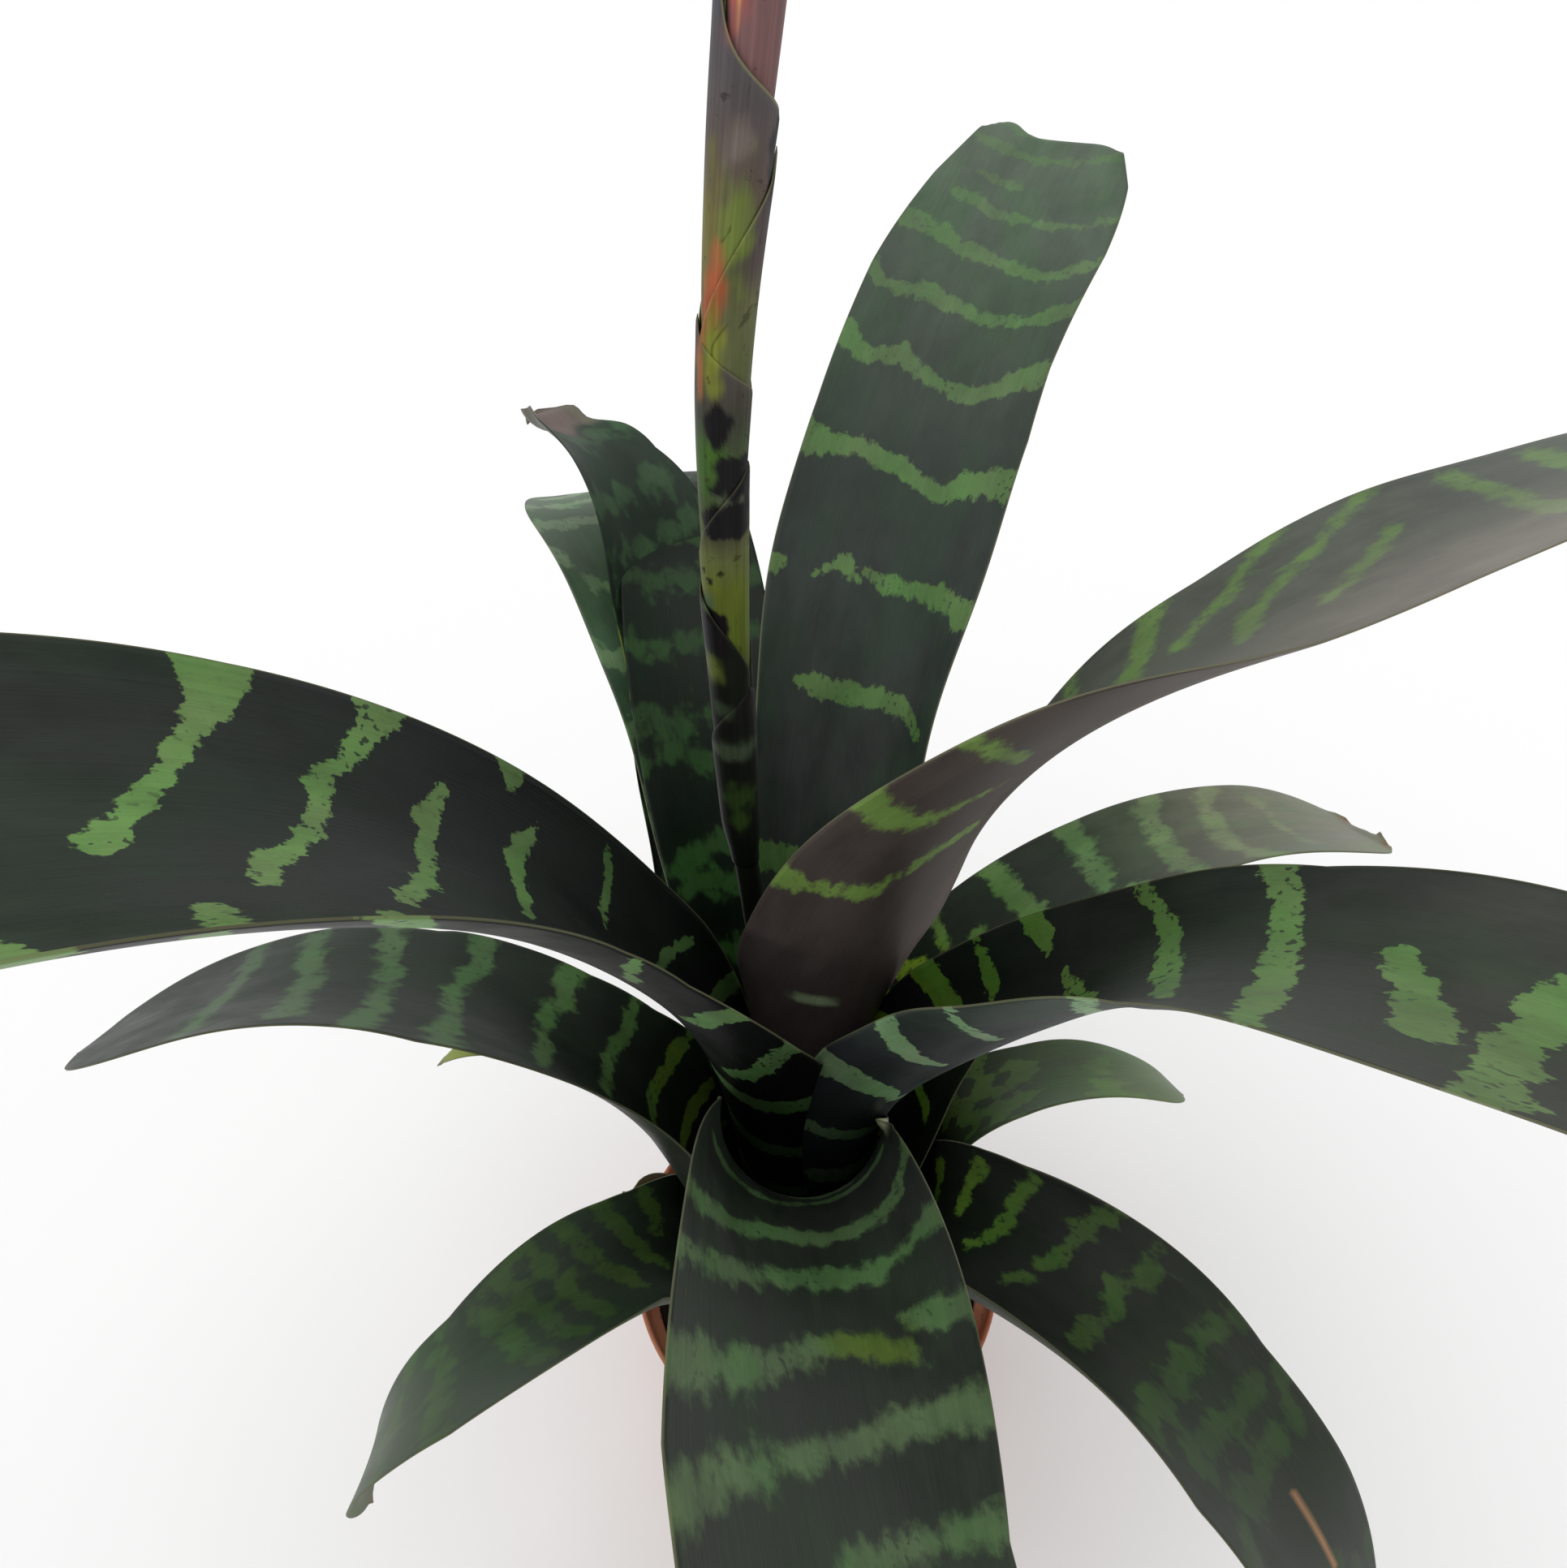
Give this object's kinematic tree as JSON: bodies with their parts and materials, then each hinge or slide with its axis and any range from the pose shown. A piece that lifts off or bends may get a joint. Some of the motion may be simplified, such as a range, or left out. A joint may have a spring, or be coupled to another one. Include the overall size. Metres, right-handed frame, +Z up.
{
  "type": "potted flaming sword bromeliad",
  "caption": "Potted bromeliad: banded strap leaves nest in a tank-forming rosette round a stalk with sheathing bracts and a flat red flower spike, in a tapered grow pot.",
  "frame": {"origin": "centre of the pot's flat base", "axes": "+Z up along the pot's axis; -Y is the side towards which the front leaf hangs"},
  "size_m": [0.4243, 0.4732, 0.638],
  "materials": {
    "pot": "matte terracotta-coloured",
    "potting_mix": "dark fibrous bark and peat",
    "leaf": "waxy blackish green with mid-green crossbands",
    "old_leaf": "dry, brown, rough",
    "flower_stalk": "satin green",
    "stalk_bract": "satin, olive to grey-purple",
    "sword_bract": "satin red"
  },
  "bodies": {
    "root": {"pot": "pot", "potting_mix": "potting_mix", "leaf_twisted": "leaf", "leaf_back_dark": "leaf", "leaf_back_tall": "leaf", "leaf_right": "leaf", "leaf_left": "leaf", "leaf_back_middle": "leaf", "leaf_front": "leaf", "leaf_far_right": "leaf", "leaf_back_pale": "leaf", "leaf_low_left": "leaf", "leaf_low_back": "leaf", "leaf_front_right": "leaf", "leaf_pointed": "leaf", "leaf_small_right": "leaf", "leaf_small_left": "leaf", "old_leaf_stub": "old_leaf", "flower_stalk": "flower_stalk", "stalk_bract_1": "stalk_bract", "stalk_bract_2": "stalk_bract", "stalk_bract_3": "stalk_bract", "stalk_bract_4": "stalk_bract", "stalk_bract_5": "stalk_bract", "stalk_bract_6": "stalk_bract", "stalk_bract_7": "stalk_bract", "sword_bract_1": "sword_bract", "sword_bract_2": "sword_bract", "sword_bract_3": "sword_bract", "sword_bract_4": "sword_bract", "sword_bract_5": "sword_bract", "sword_bract_6": "sword_bract", "sword_bract_7": "sword_bract", "sword_bract_8": "sword_bract", "sword_bract_9": "sword_bract", "sword_bract_10": "sword_bract", "sword_bract_11": "sword_bract", "sword_bract_12": "sword_bract", "sword_bract_13": "sword_bract", "sword_bract_14": "sword_bract", "sword_bract_15": "sword_bract", "sword_bract_16": "sword_bract", "sword_bract_17": "sword_bract", "sword_bract_18": "sword_bract", "sword_bract_19": "sword_bract", "sword_bract_20": "sword_bract", "sword_bract_21": "sword_bract", "sword_bract_22": "sword_bract"}
  },
  "joints": []
}
